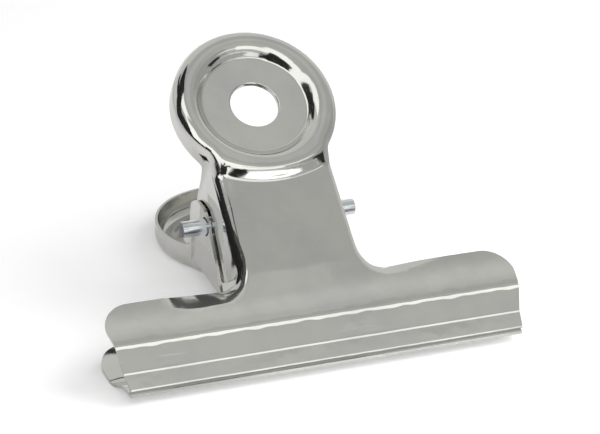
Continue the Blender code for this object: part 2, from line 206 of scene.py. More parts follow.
def surface_height(across, along):
    """Height of a plate's outer face over its dish floor."""
    radius = np.maximum(np.hypot(across, along), SHEET)
    bends = bead_bends(1 + along / radius)
    bead = sum(change * soft_ramp(radius - place, ease) for place, ease, change in bends)
    return jaw_height(across, along) + bead


def flange_depth(stations, pin_behind, edge):
    """How far the turned edge reaches back at each station: a smooth curve through its points."""
    ear_depth = pin_behind + PIN_DIAMETER / 2 + EAR_WALL
    places, shares = np.transpose(((0.0, RIM_DEPTH / ear_depth), *edge))
    rises = np.diff(shares) / np.diff(places)
    product = np.maximum(0.0, rises[:-1] * rises[1:])
    both = rises[:-1] + rises[1:]
    slopes = np.zeros(len(places))
    slopes[1:-1] = np.divide(2 * product, both, out=np.zeros_like(both), where=product > 0)
    number = np.minimum(np.searchsorted(places[1:], stations), len(rises) - 1)
    span = places[number + 1] - places[number]
    share = np.clip((stations - places[number]) / span, 0, 1)
    step = shares[number + 1] - shares[number]
    start_rise = slopes[number] * span
    end_rise = slopes[number + 1] * span
    cubic = start_rise + end_rise - 2 * step
    square = 3 * step - 2 * start_rise - end_rise
    return ear_depth * (shares[number] + share * (start_rise + share * (square + share * cubic)))


def bend_turn(depth):
    """How far the round bend turns before a flange of this depth ends."""
    return np.arccos(np.maximum(0.0, 1 - depth / BEND_RADIUS))


def directions(turns):
    """Outward directions in the plate's plan, at turns from the disc's top."""
    return np.stack([np.sin(turns), np.cos(turns)], axis=1)


def blend_centre(half_neck):
    """Centre of the hollow arc between the disc's rim and the neck's side."""
    across = half_neck + DISC_BLEND
    return np.array([across, -math.sqrt((DISC_RADIUS + DISC_BLEND) ** 2 - across ** 2)])


def disc_turn(half_neck):
    """Turn from the disc's top to where its rim runs into the neck."""
    centre = blend_centre(half_neck)
    return math.pi / 2 + math.atan2(-centre[1], centre[0])


def bend_line(half_neck, pin_behind, free_edge, facet):
    """A flange's bend line on the right, disc top first.

    Gives at each point its place, its outward direction, the flange's depth, and the bend's width and
    first and last turn. Past the neck the line draws in from the plate's outline, by as much as the
    bend stands out there.
    """
    centre = blend_centre(half_neck)
    last_turn = disc_turn(half_neck)
    blend_radius = DISC_BLEND + BEND_RADIUS
    blend_length = blend_radius * (last_turn - math.pi / 2)
    disc_turns = np.linspace(0, last_turn, DISC_COLUMNS, endpoint=False)
    blend_turns = np.linspace(last_turn, math.pi / 2, ARC_COLUMNS, endpoint=False)
    fillet_turns = np.linspace(math.pi / 2, 0, ARC_COLUMNS, endpoint=False)
    neck_x = half_neck - BEND_RADIUS
    fillet_s = WING_TOP + WING_FILLET
    neck_s = np.linspace(centre[1], fillet_s, NECK_COLUMNS, endpoint=False)
    runout_x = neck_x + WING_FILLET + np.linspace(0, WING_RUNOUT, RUNOUT_COLUMNS + 1)
    turns = np.concatenate([disc_turns, blend_turns, np.full(NECK_COLUMNS, math.pi / 2),
                            fillet_turns, np.zeros(RUNOUT_COLUMNS + 1)])
    points = np.concatenate([
        directions(disc_turns) * CREST_RADIUS,
        centre - directions(blend_turns) * blend_radius,
        np.stack([np.full(NECK_COLUMNS, neck_x), neck_s], axis=1),
        np.array([neck_x + WING_FILLET, fillet_s]) - directions(fillet_turns) * WING_FILLET,
        np.stack([runout_x, np.full(RUNOUT_COLUMNS + 1, WING_TOP)], axis=1)])
    past_pin = -PIN_FROM_DISC - neck_s
    reach = np.where(past_pin > 0, -PIN_FROM_DISC - fillet_s, centre[1] + PIN_FROM_DISC)
    to_neck = CREST_RADIUS * (last_turn - disc_turns) + blend_length
    stations = np.concatenate([
        1 - to_neck / SHOULDER_LENGTH,
        1 - blend_radius * (blend_turns - math.pi / 2) / SHOULDER_LENGTH,
        2 + past_pin / reach,
        3 + np.arange(ARC_COLUMNS) / ARC_COLUMNS,
        4 + np.arange(RUNOUT_COLUMNS + 1) / RUNOUT_COLUMNS])
    out = directions(turns)
    depth = flange_depth(stations, pin_behind, free_edge)
    round_width = BEND_RADIUS * np.sin(bend_turn(depth))
    width = np.maximum(round_width, np.interp(stations, *np.transpose(facet)))
    tilt = np.arctan2(np.minimum(depth, BEND_RADIUS), width)
    crease = CREASE_SHARE * tilt * np.interp(stations, CREASE_STATIONS, (0, 1))
    past_neck = np.clip(stations - 3, 0, 1)
    inset = width * past_neck ** 2 * (3 - 2 * past_neck)
    return points - out * inset[:, None], out, depth, width, crease, 2 * tilt - crease


def jaw_rows():
    """Rows of points across the jaw, close together at its two folds and at the lip's edge."""
    places = np.concatenate([WING_BEND + np.linspace(FOLD_LEAD + FOLD_HALF, -FOLD_LEAD, FOLD_ROWS),
                             [(WING_BEND + STRIP_BEND) / 2],
                             STRIP_BEND + LIP_FOLD_HALF * np.linspace(1, -1, LIP_FOLD_ROWS),
                             LIP_EDGE + LIP_EDGE_HALF * np.linspace(1, -1, LIP_EDGE_ROWS), [LIP_END]])
    corner_end = WING_TOP - WING_CORNER
    taper = np.maximum(0.0, corner_end - places) / (corner_end - LIP_END)
    ends = HALF_JAW - JAW_TAPER * taper
    across = np.linspace(-1, 1, JAW_COLUMNS + 1)
    return [np.stack([end * across, np.full(len(across), place)], axis=1)
            for end, place in zip(ends, places)]


def plan_outline(right_bends, left_bends, rows):
    """The plate's plan inside its bend lines, as one closed loop of points, disc top first."""
    corner_turns = np.linspace(0, math.pi / 2, ARC_COLUMNS + 1)
    corner_centre = np.array([HALF_JAW - WING_CORNER, WING_TOP - WING_CORNER])
    corner = corner_centre + directions(corner_turns) * WING_CORNER
    ends = np.array([row[-1] for row in rows])
    right = np.concatenate([right_bends, corner, ends])
    left = np.concatenate([left_bends, corner, ends])[:0:-1] * (-1, 1)
    return np.concatenate([right, rows[-1][-2:0:-1], left])


def inner_points(half_neck, outline):
    """Points of the bead's rings and of the soft bend at the wing's top, clear of the outline."""
    last_turn = disc_turn(half_neck)
    right = np.linspace(0, last_turn, DISC_COLUMNS + 1)
    across = np.linspace(last_turn, 2 * math.pi - last_turn, NECK_RING_COLUMNS + 1)[1:-1]
    ring = directions(np.concatenate([right, across, 2 * math.pi - right[:0:-1]]))
    bends = bead_bends(1 + ring[:, 1])
    loose = [ring * np.reshape(place + ease * share, (-1, 1))
             for place, ease, _ in bends for share in np.linspace(-1, 1, BEAD_ROWS)]
    shoulder, foot = bends[2][0], bends[3][0]
    loose += [ring * (shoulder + (foot - shoulder) * share)[:, None]
              for share in np.linspace(*BEAD_SLOPE_SPAN, BEAD_SLOPE_ROWS)]
    columns = np.linspace(-HALF_JAW, HALF_JAW, JAW_COLUMNS + 1)
    wing_end = WING_BEND + FOLD_LEAD + FOLD_LEAD_HALF
    for place in np.linspace(WING_TOP + WING_BEND_HALF, wing_end, WING_ROWS):
        loose.append(np.stack([columns, np.full(len(columns), place)], axis=1))
    loose = np.concatenate(loose)
    following = np.roll(outline, -1, axis=0)
    edge = following - outline
    offset = loose[:, None] - outline[None]
    share = np.clip((offset * edge).sum(2) / (edge * edge).sum(1), 0, 1)
    nearest = np.linalg.norm(offset - edge * share[..., None], axis=2).min(axis=1)
    spans = (outline[None, :, 1] > loose[:, None, 1]) != (following[None, :, 1] > loose[:, None, 1])
    rise = np.where(edge[:, 1] == 0, 1.0, edge[:, 1])
    crossing = outline[:, 0] + edge[:, 0] * offset[..., 1] / rise
    inside = (spans & (crossing > loose[:, None, 0])).sum(axis=1) % 2 == 1
    return loose[inside & (nearest > OUTLINE_CLEARANCE)]


def add_face_sheet(mesh, half_neck, right_bends, left_bends):
    """The plate's pressed face between its bend lines, with the bead and the jaw's bends."""
    rows = jaw_rows()
    outline = plan_outline(right_bends, left_bends, rows)
    hole = directions(np.linspace(0, 2 * math.pi, HOLE_POINTS, endpoint=False)) * HOLE_ROLL_START
    places = {}
    edges = []
    closed = [np.concatenate([loop, loop[:1]]) for loop in (outline, hole)]
    for chain in closed + rows[:-1]:
        numbers = [places.setdefault(tuple(point), len(places)) for point in chain]
        edges += list(zip(numbers[:-1], numbers[1:]))
    for point in inner_points(half_neck, outline):
        places.setdefault(tuple(point), len(places))
    loose = [Vector(place) for place in places]
    points, _, triangles, *_ = delaunay_2d_cdt(loose, edges, [], 1, PLAN_TOLERANCE)
    flat = np.array(points)
    heights = surface_height(flat[:, 0], flat[:, 1])
    corners = [mesh.verts.new((x, s, height)) for (x, s), height in zip(flat, heights)]
    hole_limit = HOLE_ROLL_START + 10 * PLAN_TOLERANCE
    for triangle in triangles:
        if any(points[number].length > hole_limit for number in triangle):
            mesh.faces.new([corners[number] for number in triangle])


def add_strip(mesh, grid):
    """Four-sided faces between neighbouring columns of points."""
    columns = [[mesh.verts.new(point) for point in column] for column in grid]
    for first, second in zip(columns[:-1], columns[1:]):
        for step in range(len(first) - 1):
            mesh.faces.new((first[step], first[step + 1], second[step + 1], second[step]))


def add_flange(mesh, points, out, depth, width, first, last, side):
    """The turned edge of one side: a round bend, then a wall back to its free edge."""
    across = np.sin(last) - np.sin(first)
    radius = np.divide(width, across, out=np.zeros_like(width), where=across > LEAST_TURN)[:, None]
    turns = first[:, None] + (last - first)[:, None] * np.linspace(0, 1, BEND_ROWS + 1)
    reach = radius * (np.sin(turns) - np.sin(first)[:, None])
    drop = radius * (np.cos(first)[:, None] - np.cos(turns))
    plan = points[:, None] + out[:, None] * reach[..., None]
    heights = surface_height(plan[..., 0], plan[..., 1]) - drop
    fall = np.minimum(0.0, jaw_height(points[:, 0], points[:, 1]) - depth - heights[:, -1])
    wall = heights[:, -1:] + fall[:, None] * np.linspace(0, 1, WALL_ROWS + 1)[1:]
    plan = np.concatenate([plan, np.repeat(plan[:, -1:], WALL_ROWS, axis=1)], axis=1)
    heights = np.concatenate([heights, wall], axis=1)
    add_strip(mesh, np.stack([side * plan[..., 0], plan[..., 1], heights], axis=2))


def add_hole_roll(mesh):
    """The hang hole's edge, rolled back through the sheet."""
    ring = directions(np.linspace(0, 2 * math.pi, HOLE_POINTS + 1))
    turns = np.linspace(0, math.pi / 2, HOLE_ROWS)
    radii = np.append(HOLE_ROLL_START - HOLE_ROLL * np.sin(turns), HOLE_RADIUS)
    heights = np.append(-HOLE_ROLL * (1 - np.cos(turns)), -HOLE_ROLL - HOLE_WALL)
    plan = ring[:, None] * radii[None, :, None]
    add_strip(mesh, np.dstack([plan, np.broadcast_to(heights, plan.shape[:2])]))


def finished_mesh(part):
    """The object's mesh as its modifiers leave it, in place of the plain one."""
    graph = bpy.context.evaluated_depsgraph_get()
    finished = bpy.data.meshes.new_from_object(part.evaluated_get(graph))
    finished.name = part.name
    part.modifiers.clear()
    part.data = finished


def new_piece(name, data, *materials):
    """An object of the clip, with its materials."""
    part = bpy.data.objects.new(name, data)
    scene.collection.objects.link(part)
    for material in materials:
        data.materials.append(material)
    return part


hinge = Vector(frame["joints"][0]["pos_m"])


def plate(name, half_neck, pin_behind, flanges, dish, across, materials):
    """One pressed plate, set by the hinge and its dish floor's facing, with pin holes in both flanges."""
    mesh = bmesh.new()
    right, left = [bend_line(half_neck, pin_behind, *flange) for flange in flanges]
    add_face_sheet(mesh, half_neck, right[0], left[0])
    add_flange(mesh, *right, 1)
    add_flange(mesh, *left, -1)
    add_hole_roll(mesh)
    bmesh.ops.remove_doubles(mesh, verts=mesh.verts, dist=MERGE_DISTANCE)
    bmesh.ops.recalc_face_normals(mesh, faces=mesh.faces)
    if sum(face.normal.z * face.calc_area() for face in mesh.faces) < 0:
        bmesh.ops.reverse_faces(mesh, faces=mesh.faces)
    facing = Vector(dish["axis"]).normalized()
    along = facing.cross(across)
    centre = hinge + along * PIN_FROM_DISC + facing * pin_behind
    place = Matrix((across, along, facing)).transposed().to_4x4()
    place.translation = centre
    bmesh.ops.transform(mesh, matrix=place, verts=mesh.verts)
    data = bpy.data.meshes.new(name)
    mesh.to_mesh(data)
    mesh.free()
    part = new_piece(name, data, *materials)
    wall = part.modifiers.new("sheet", "SOLIDIFY")
    wall.thickness = SHEET
    wall.offset = -1.0
    wall.use_even_offset = True
    wall.material_offset = 2
    wall.material_offset_rim = 1
    drill_mesh = bmesh.new()
    bore = PIN_DIAMETER / 2 + PIN_PLAY
    drill_place = Matrix.Translation(hinge) @ Matrix.Rotation(math.pi / 2, 4, "Y")
    bmesh.ops.create_cone(drill_mesh, cap_ends=True, segments=PIN_HOLE_SIDES, radius1=bore, radius2=bore,
                          depth=DRILL_LENGTH, matrix=drill_place)
    drill_data = bpy.data.meshes.new("pin_drill")
    drill_mesh.to_mesh(drill_data)
    drill_mesh.free()
    drill = new_piece("pin_drill", drill_data, materials[1])
    holes = part.modifiers.new("pin_holes", "BOOLEAN")
    holes.object = drill
    holes.solver = "EXACT"
    finished_mesh(part)
    bpy.data.objects.remove(drill)
    part.data.shade_smooth()
    part.data.set_sharp_from_angle(angle=SHARP_ANGLE)
    return part


def new_group(name, inputs, outputs):
    """An empty shader node group with named sockets: the tree, its input node and its output node."""
    tree = bpy.data.node_groups.new(name, "ShaderNodeTree")
    for label, kind, value in inputs:
        socket = tree.interface.new_socket(label, in_out="INPUT", socket_type=kind)
        socket.default_value = value
    for label, kind in outputs:
        tree.interface.new_socket(label, in_out="OUTPUT", socket_type=kind)
    return tree, tree.nodes.new("NodeGroupInput"), tree.nodes.new("NodeGroupOutput")


def add_node(tree, kind, settings=None, **inputs):
    """A node with its settings. Its inputs are values or sockets to link, by name or as i0, i1, i2."""
    node = tree.nodes.new(kind)
    for key, value in (settings or {}).items():
        setattr(node, key, value)
    for key, value in inputs.items():
        numbered = key[0] == "i" and key[1:].isdigit()
        socket = node.inputs[int(key[1:]) if numbered else key.replace("_", " ")]
        if isinstance(value, bpy.types.NodeSocket):
            tree.links.new(value, socket)
        else:
            socket.default_value = value
    return node


def worked_out(tree, operation, *values, clamp=False):
    """The result of a math node on values or sockets."""
    settings = {"operation": operation, "use_clamp": clamp}
    inputs = {f"i{number}": value for number, value in enumerate(values)}
    return add_node(tree, "ShaderNodeMath", settings, **inputs).outputs[0]


SMEAR_SCALE = 90.0
SMEAR_RANGE = (0.42, 0.68)
SMEAR_TINT = (0.90, 0.91, 0.93, 1.0)
SCRATCHES = ((0.4, 2100.0), (1.3, 1700.0), (2.3, 2500.0))
SCRATCH_LEAN = (0.3, 0.2)
SCRATCH_STRETCH = 0.035
SCRATCH_RANGE = (0.76, 0.82)
WAVE_SCALE = 120.0
RIPPLE_SCALE = 480.0
RIPPLE_HEIGHT = 0.10
GRAIN_SCALE = 2600.0


def metal_finish_group():
    """Marks on bright metal: smears, hair scratches, a fine grain, and the waves of pressed sheet."""
    tree, given, result = new_group(
        "metal_finish",
        (("Tint", "NodeSocketColor", (0.62, 0.61, 0.58, 1.0)), ("Gloss", "NodeSocketFloat", 0.10),
         ("Smears", "NodeSocketFloat", 0.05), ("Scratches", "NodeSocketFloat", 0.10),
         ("Waves", "NodeSocketFloat", 1.0), ("Grain", "NodeSocketFloat", 1.0)),
        (("Color", "NodeSocketColor"), ("Roughness", "NodeSocketFloat"), ("Height", "NodeSocketFloat")))
    place = add_node(tree, "ShaderNodeTexCoord").outputs["Object"]
    smear = add_node(tree, "ShaderNodeTexNoise", Vector=place, Scale=SMEAR_SCALE, Detail=5.0, Roughness=0.6)
    patch = add_node(tree, "ShaderNodeMapRange", Value=smear.outputs["Fac"], i1=SMEAR_RANGE[0],
                     i2=SMEAR_RANGE[1])
    masks = []
    for turn, scale in SCRATCHES:
        mapping = add_node(tree, "ShaderNodeMapping", Vector=place, Rotation=(*SCRATCH_LEAN, turn),
                           Scale=(SCRATCH_STRETCH, 1.0, 1.0))
        lines = add_node(tree, "ShaderNodeTexNoise", Vector=mapping.outputs["Vector"], Scale=scale,
                         Detail=0.0)
        mask = add_node(tree, "ShaderNodeMapRange", Value=lines.outputs["Fac"], i1=SCRATCH_RANGE[0],
                        i2=SCRATCH_RANGE[1])
        masks.append(mask.outputs["Result"])
    scratch = worked_out(tree, "MAXIMUM", worked_out(tree, "MAXIMUM", masks[0], masks[1]), masks[2])
    smeared = worked_out(tree, "MULTIPLY_ADD", patch.outputs["Result"], given.outputs["Smears"],
                         given.outputs["Gloss"])
    rough = worked_out(tree, "MULTIPLY_ADD", scratch, given.outputs["Scratches"], smeared, clamp=True)
    wave = add_node(tree, "ShaderNodeTexNoise", Vector=place, Scale=WAVE_SCALE, Detail=1.0, Roughness=0.4)
    ripple = add_node(tree, "ShaderNodeTexNoise", Vector=place, Scale=RIPPLE_SCALE, Detail=1.0,
                      Roughness=0.5)
    grain = add_node(tree, "ShaderNodeTexNoise", Vector=place, Scale=GRAIN_SCALE, Detail=2.0, Roughness=0.5)
    waves = worked_out(tree, "MULTIPLY", wave.outputs["Fac"], given.outputs["Waves"])
    rippled = worked_out(tree, "MULTIPLY_ADD", ripple.outputs["Fac"], RIPPLE_HEIGHT, waves)
    grained = worked_out(tree, "MULTIPLY_ADD", grain.outputs["Fac"], given.outputs["Grain"], rippled)
    darker = add_node(tree, "ShaderNodeMix", {"data_type": "RGBA", "blend_type": "MULTIPLY"},
                      i6=given.outputs["Tint"], i7=SMEAR_TINT)
    tree.links.new(patch.outputs["Result"], darker.inputs[0])
    tree.links.new(darker.outputs[2], result.inputs["Color"])
    tree.links.new(rough, result.inputs["Roughness"])
    tree.links.new(grained, result.inputs["Height"])
    return tree


METAL_FINISH = metal_finish_group()


def metal(name, tint, gloss, smears, scratches, waves, grain, depth):
    """A bright metal with its own share of handling marks."""
    material = bpy.data.materials.new(name)
    material.use_nodes = True
    tree = material.node_tree
    shader = tree.nodes["Principled BSDF"]
    shader.inputs["Metallic"].default_value = 1.0
    finish = tree.nodes.new("ShaderNodeGroup")
    finish.node_tree = METAL_FINISH
    values = {"Tint": (*tint, 1.0), "Gloss": gloss, "Smears": smears, "Scratches": scratches,
              "Waves": waves, "Grain": grain}
    for label, value in values.items():
        finish.inputs[label].default_value = value
    bump = add_node(tree, "ShaderNodeBump", Height=finish.outputs["Height"], Strength=1.0, Distance=depth)
    tree.links.new(finish.outputs["Color"], shader.inputs["Base Color"])
    tree.links.new(finish.outputs["Roughness"], shader.inputs["Roughness"])
    tree.links.new(bump.outputs["Normal"], shader.inputs["Normal"])
    return material


nickel = metal("nickel_plating", tint=(0.66, 0.65, 0.625), gloss=0.07, smears=0.05, scratches=0.10,
               waves=1.0, grain=0.012, depth=0.00012)
sheared_edge = metal("sheared_edge", tint=(0.54, 0.53, 0.51), gloss=0.26, smears=0.08, scratches=0.10,
                     waves=0.3, grain=0.3, depth=0.00010)
inner_plating = metal("inner_plating", tint=(0.64, 0.63, 0.605), gloss=0.10, smears=0.05, scratches=0.10,
                      waves=1.0, grain=0.05, depth=0.00012)
plate_metals = (nickel, sheared_edge, inner_plating)
mounts = {mount["name"]: mount for mount in frame["record"]["mounts"]}
front_flanges = ((FRONT_EDGE, NO_FACET), (FRONT_LEFT_EDGE, RUNOUT_FACET))
front = plate("front_pressing", FRONT_HALF_NECK, PIN_BEHIND_FRONT, front_flanges, mounts["front_dish"],
              Vector((1, 0, 0)), plate_metals)
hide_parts("front_plate")
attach(front, "front")

# Rear plate: the lower half, the same kind of pressing turned over. Its neck is wider by a sheet
# and a gap on each side, so that its flanges lie outside the front plate's, and their free edges
# slant away towards the jaw.
REAR_HALF_NECK = FRONT_HALF_NECK + PIN_PLAY + SHEET
PIN_BEHIND_REAR = 0.01156
REAR_EDGE = ((0.70, 0.22), (0.76, 0.34), (0.80, 0.72), (0.85, 0.83), (0.92, 0.875), (1.0, 0.895),
             (1.18, 0.955), (1.4, 0.99), (1.55, 1.0), (1.75, 0.998), (1.91, 0.98), (2.1, 0.895),
             (2.2, 0.785), (2.35, 0.643), (2.54, 0.476), (2.77, 0.236), (2.93, 0.11), (3.1, 0.055),
             (3.4, 0.03), (3.7, 0.02), (4.0, 0.015), (4.5, 0.005), (5.0, 0.0))
rear = plate("rear_pressing", REAR_HALF_NECK, PIN_BEHIND_REAR, ((REAR_EDGE, NO_FACET),) * 2,
             mounts["rear_dish"], Vector((-1, 0, 0)), plate_metals)
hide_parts("rear_plate")
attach(rear, "rear")

# Hinge pin: a length of drawn steel rod pushed through the four flange walls. Both ends are cut
# off square, and stand out beyond the flanges.
PIN_LENGTH = 0.0340
PIN_SIDES = 64
PIN_END_RADIUS = 0.0002
PIN_END_ROWS = 6
PIN_DOME = 0.00008
PIN_DOME_RING = (0.3, 0.5)
PIN_SHANK_RINGS = (0.9, 0.6, 0.3)
CUT_END_FACING = 0.7


def pin_mesh(name, centre):
    """The pin turned from its profile: slightly domed ends, rounded edges, straight shank."""
    half = PIN_LENGTH / 2
    radius = PIN_DIAMETER / 2
    turns = np.linspace(0, math.pi / 2, PIN_END_ROWS)
    face = [(half, 0.0), (half - PIN_DOME * PIN_DOME_RING[0], radius * PIN_DOME_RING[1])]
    rounded = [(half - PIN_DOME - PIN_END_RADIUS * (1 - math.cos(turn)),
                radius - PIN_END_RADIUS * (1 - math.sin(turn))) for turn in turns]
    shank = [(half * share, radius) for share in PIN_SHANK_RINGS]
    profile = face + rounded + shank
    profile += [(0.0, radius)] + [(-x, r) for x, r in profile[::-1]]
    mesh = bmesh.new()
    rings = []
    for x, r in profile:
        count = PIN_SIDES if r else 1
        turns = np.linspace(0, 2 * math.pi, count, endpoint=False)
        rings.append([mesh.verts.new(centre + Vector((x, r * math.cos(turn), r * math.sin(turn))))
                      for turn in turns])
    for first, second in zip(rings[:-1], rings[1:]):
        for step in range(PIN_SIDES):
            around = ((first, step), (first, step + 1), (second, step + 1), (second, step))
            corners = [ring[number % len(ring)] for ring, number in around]
            mesh.faces.new(dict.fromkeys(corners))
    bmesh.ops.recalc_face_normals(mesh, faces=mesh.faces)
    for face in mesh.faces:
        face.material_index = int(abs(face.normal.x) > CUT_END_FACING)
    data = bpy.data.meshes.new(name)
    mesh.to_mesh(data)
    mesh.free()
    data.shade_smooth()
    data.set_sharp_from_angle(angle=SHARP_ANGLE)
    return data


rod_steel = metal("pin_rod", tint=(0.72, 0.74, 0.78), gloss=0.18, smears=0.10, scratches=0.12,
                  waves=0.5, grain=0.1, depth=0.00006)
cut_end = metal("pin_cut_end", tint=(0.93, 0.95, 1.0), gloss=0.50, smears=0.10, scratches=0.10,
                waves=0.0, grain=1.6, depth=0.00022)
pin = new_piece("hinge_pin", pin_mesh("hinge_pin", hinge), rod_steel, cut_end)
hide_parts("pivot_pin")
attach(pin, "rear")

# Torsion spring: hard-drawn steel wire wound round the pin, nine turns less what the legs take.
# One leg presses on each plate from inside, and so the lips are held together.
WIRE_DIAMETER = 0.0012
COIL_CLEARANCE = 0.0005
COIL_TURNS = 9
COIL_PITCH = 0.00175
LEG_REACH = 0.0129
WIRE_STEP = 0.0004
WIRE_SIDES = 14
WIRE_SHARP_ANGLE = math.radians(50)


def spring_tree(material):
    """Geometry nodes that wind a wire: a straight leg, the coil about X, and a straight leg."""
    tree = bpy.data.node_groups.new("wound_wire", "GeometryNodeTree")
    for label in ("Coil Radius", "Wire Radius", "Pitch", "First Turn", "Sweep", "First Leg", "Last Leg",
                  "Length"):
        tree.interface.new_socket(label, in_out="INPUT", socket_type="NodeSocketFloat")
    tree.interface.new_socket("Points", in_out="INPUT", socket_type="NodeSocketInt")
    tree.interface.new_socket("Geometry", in_out="OUTPUT", socket_type="NodeSocketGeometry")
    given = tree.nodes.new("NodeGroupInput").outputs
    result = tree.nodes.new("NodeGroupOutput")
    reach = add_node(tree, "ShaderNodeCombineXYZ", X=given["Length"])
    line = add_node(tree, "GeometryNodeCurvePrimitiveLine", End=reach.outputs[0])
    points = add_node(tree, "GeometryNodeResampleCurve", Curve=line.outputs[0], Count=given["Points"])
    run = add_node(tree, "GeometryNodeSplineParameter").outputs["Length"]
    wound = worked_out(tree, "SUBTRACT", run, given["First Leg"])
    legs = worked_out(tree, "ADD", given["First Leg"], given["Last Leg"])
    coil = worked_out(tree, "SUBTRACT", given["Length"], legs)
    share = add_node(tree, "ShaderNodeClamp", Value=worked_out(tree, "DIVIDE", wound, coil)).outputs[0]
    spare = worked_out(tree, "SUBTRACT", wound, worked_out(tree, "MULTIPLY", share, coil))
    turned = worked_out(tree, "MULTIPLY", share, given["Sweep"])
    turn = worked_out(tree, "SUBTRACT", given["First Turn"], turned)
    cosine = worked_out(tree, "COSINE", turn)
    sine = worked_out(tree, "SINE", turn)
    pitch = worked_out(tree, "DIVIDE", given["Pitch"], 2 * math.pi)
    travel = worked_out(tree, "MULTIPLY", pitch, given["Sweep"])
    x = worked_out(tree, "MULTIPLY", travel, worked_out(tree, "SUBTRACT", share, 0.5))
    coil_y = worked_out(tree, "MULTIPLY", cosine, given["Coil Radius"])
    coil_z = worked_out(tree, "MULTIPLY", sine, given["Coil Radius"])
    y = worked_out(tree, "ADD", coil_y, worked_out(tree, "MULTIPLY", sine, spare))
    z = worked_out(tree, "SUBTRACT", coil_z, worked_out(tree, "MULTIPLY", cosine, spare))
    place = add_node(tree, "ShaderNodeCombineXYZ", X=x, Y=y, Z=z)
    bent = add_node(tree, "GeometryNodeSetPosition", Geometry=points.outputs[0], Position=place.outputs[0])
    section = add_node(tree, "GeometryNodeCurvePrimitiveCircle", Resolution=WIRE_SIDES,
                       Radius=given["Wire Radius"])
    wire = add_node(tree, "GeometryNodeCurveToMesh", Curve=bent.outputs[0],
                    Profile_Curve=section.outputs[0], Fill_Caps=True)
    plain = add_node(tree, "GeometryNodeRealizeInstances", Geometry=wire.outputs[0])
    painted = add_node(tree, "GeometryNodeSetMaterial", Geometry=plain.outputs[0], Material=material)
    tree.links.new(painted.outputs[0], result.inputs[0])
    return tree


wire = WIRE_DIAMETER / 2
coil_radius = PIN_DIAMETER / 2 + COIL_CLEARANCE + wire


def spring_leg(dish, pin_behind, across):
    """A leg inside its plate: its length from the coil, its turn about the pin, and the coil's lead."""
    facing = Vector(dish["axis"]).normalized()
    tip = facing.cross(across) * LEG_REACH + facing * (pin_behind - SHEET - PIN_PLAY - wire)
    length = math.sqrt(tip.length ** 2 - coil_radius ** 2)
    return length, math.atan2(tip.z, tip.y), math.acos(coil_radius / tip.length)


rear_leg, rear_turn, rear_lead = spring_leg(mounts["rear_dish"], PIN_BEHIND_REAR, Vector((-1, 0, 0)))
front_leg, front_turn, front_lead = spring_leg(mounts["front_dish"], PIN_BEHIND_FRONT, Vector((1, 0, 0)))
first_turn = rear_turn - rear_lead
sweep = 2 * math.pi * COIL_TURNS + first_turn - front_turn - front_lead
wire_length = coil_radius * sweep + rear_leg + front_leg

wire_steel = metal("spring_wire", tint=(0.50, 0.50, 0.51), gloss=0.24, smears=0.10, scratches=0.10,
                   waves=0.5, grain=0.2, depth=0.00006)
spring = new_piece("wound_spring", bpy.data.meshes.new("wound_spring"))
winding = spring.modifiers.new("winding", "NODES")
winding.node_group = spring_tree(wire_steel)
sizes = {"Coil Radius": coil_radius, "Wire Radius": wire, "Pitch": COIL_PITCH, "First Turn": first_turn,
         "Sweep": sweep, "First Leg": rear_leg, "Last Leg": front_leg, "Length": wire_length,
         "Points": round(wire_length / WIRE_STEP)}
for item in winding.node_group.interface.items_tree:
    if item.in_out == "INPUT":
        winding[item.identifier] = sizes[item.name]
finished_mesh(spring)
spring.data.transform(Matrix.Translation(hinge))
spring.data.shade_smooth()
spring.data.set_sharp_from_angle(angle=WIRE_SHARP_ANGLE)
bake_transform(spring)
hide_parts("torsion_spring")

# Table: a plain sheet of pale paper under the clip, which keeps the clip's soft shadow. The camera
# sees it lifted to white, and the metal mirrors a share of that lift.
TABLE_HALF = 1.5
TABLE_PAPER = (0.80, 0.80, 0.80, 1.0)
TABLE_LIFT = 0.30
TABLE_MIRRORED = 0.46
table_mesh = bmesh.new()
bmesh.ops.create_grid(table_mesh, x_segments=1, y_segments=1, size=TABLE_HALF)
table_data = bpy.data.meshes.new("table")
table_mesh.to_mesh(table_data)
table_mesh.free()
table_paper = bpy.data.materials.new("table_paper")
table_paper.use_nodes = True
paper_tree = table_paper.node_tree
paper_tree.nodes.remove(paper_tree.nodes["Principled BSDF"])
paper = add_node(paper_tree, "ShaderNodeBsdfDiffuse", Color=TABLE_PAPER)
rays = add_node(paper_tree, "ShaderNodeLightPath").outputs
mirrored = worked_out(paper_tree, "ADD", rays["Is Transmission Ray"], rays["Is Glossy Ray"], clamp=True)
shown = worked_out(paper_tree, "MULTIPLY_ADD", mirrored, TABLE_MIRRORED, rays["Is Camera Ray"], clamp=True)
lift = worked_out(paper_tree, "MULTIPLY", shown, TABLE_LIFT)
glow = add_node(paper_tree, "ShaderNodeEmission", Strength=lift)
lifted = add_node(paper_tree, "ShaderNodeAddShader", i0=paper.outputs[0], i1=glow.outputs[0])
paper_tree.links.new(lifted.outputs[0], paper_tree.nodes["Material Output"].inputs["Surface"])
table = bpy.data.objects.new("table", table_data)
table_data.materials.append(table_paper)
scene.collection.objects.link(table)

